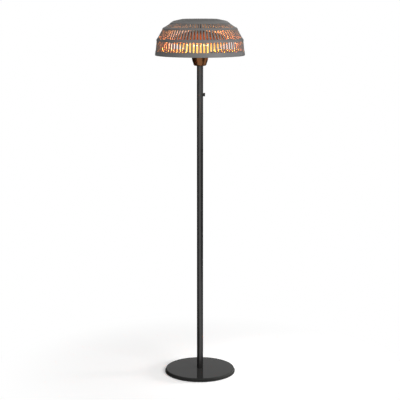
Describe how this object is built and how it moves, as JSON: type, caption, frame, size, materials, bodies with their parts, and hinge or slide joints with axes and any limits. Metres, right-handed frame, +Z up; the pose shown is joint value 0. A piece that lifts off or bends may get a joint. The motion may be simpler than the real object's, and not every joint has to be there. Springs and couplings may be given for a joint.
{
  "type": "electric patio heater",
  "caption": "Free-standing electric patio heater: round black base, slim pole with a side switch knob, copper neck, amber glass lamp bowl and a grey slatted dome shade.",
  "frame": {"origin": "on the floor, on the pole's axis, under the rubber feet", "axes": "+Z up along the pole, +X to the right with the switch knob, -Y to the front"},
  "size_m": [0.4924, 0.4923, 2],
  "materials": {
    "base_black": "semi-gloss black powder coat",
    "ballast_iron": "rough cast",
    "foot_rubber": "matt",
    "pole_black": "semi-gloss black powder coat",
    "plated_steel": "zinc plated",
    "screw_steel": "zinc plated",
    "switch_plastic": "satin black",
    "copper": "polished copper-brown plate",
    "amber_glass": "clear amber, heat-resistant",
    "silicone": "matt",
    "gold_reflector": "polished, gold anodised",
    "quartz": "clear quartz",
    "filament": "glowing tungsten coil",
    "ceramic": "unglazed ceramic",
    "post_dark": "satin dark brown",
    "shade_grey": "fine-textured grey powder coat"
  },
  "bodies": {
    "heater": {"base_plate": "base_black", "base_cover": "base_black", "base_ballast": "ballast_iron", "rubber_feet": "foot_rubber", "pole_lower": "pole_black", "pole_middle": "pole_black", "pole_upper": "pole_black", "pole_flange": "plated_steel", "pole_coupler_lower": "plated_steel", "pole_coupler_upper": "plated_steel", "neck_adapter": "plated_steel", "stem_tube": "plated_steel", "stem_nuts": "plated_steel", "switch_nut": "plated_steel", "bowl_washer": "plated_steel", "reflector_spacer": "plated_steel", "hood_spacer": "plated_steel", "lamp_carrier": "plated_steel", "lamp_bracket_front": "plated_steel", "lamp_bracket_left": "plated_steel", "lamp_bracket_right": "plated_steel", "ballast_screws": "screw_steel", "flange_screws": "screw_steel", "bowl_ring_screws": "screw_steel", "lamp_screws": "screw_steel", "cap_screws": "screw_steel", "switch_body": "switch_plastic", "switch_saddle": "switch_plastic", "cord_gland": "switch_plastic", "tilt_switch": "switch_plastic", "neck_cup": "copper", "hood": "copper", "bowl_ring": "copper", "glass_bowl": "amber_glass", "bowl_gasket": "silicone", "reflector": "gold_reflector", "lamp_tube_front": "quartz", "lamp_tube_left": "quartz", "lamp_tube_right": "quartz", "lamp_filament_front": "filament", "lamp_filament_left": "filament", "lamp_filament_right": "filament", "lamp_holders": "ceramic", "terminal_block": "ceramic", "thermal_cutout": "ceramic", "shade_post": "post_dark", "shade_cap": "shade_grey", "shade_rim": "shade_grey", "shade_ring_middle": "shade_grey", "shade_ring_upper": "shade_grey", "slats_lower": "shade_grey", "slats_middle": "shade_grey", "slats_upper": "shade_grey"},
    "knob": {"switch_knob": "switch_plastic", "switch_spindle": "plated_steel"}
  },
  "joints": [
    {"name": "switch_turn", "type": "hinge", "parent": "heater", "child": "knob", "pos_m": [0.0236, 0, 1.58799], "axis": [-1, 0, 0], "range_deg": [0, 90]}
  ]
}
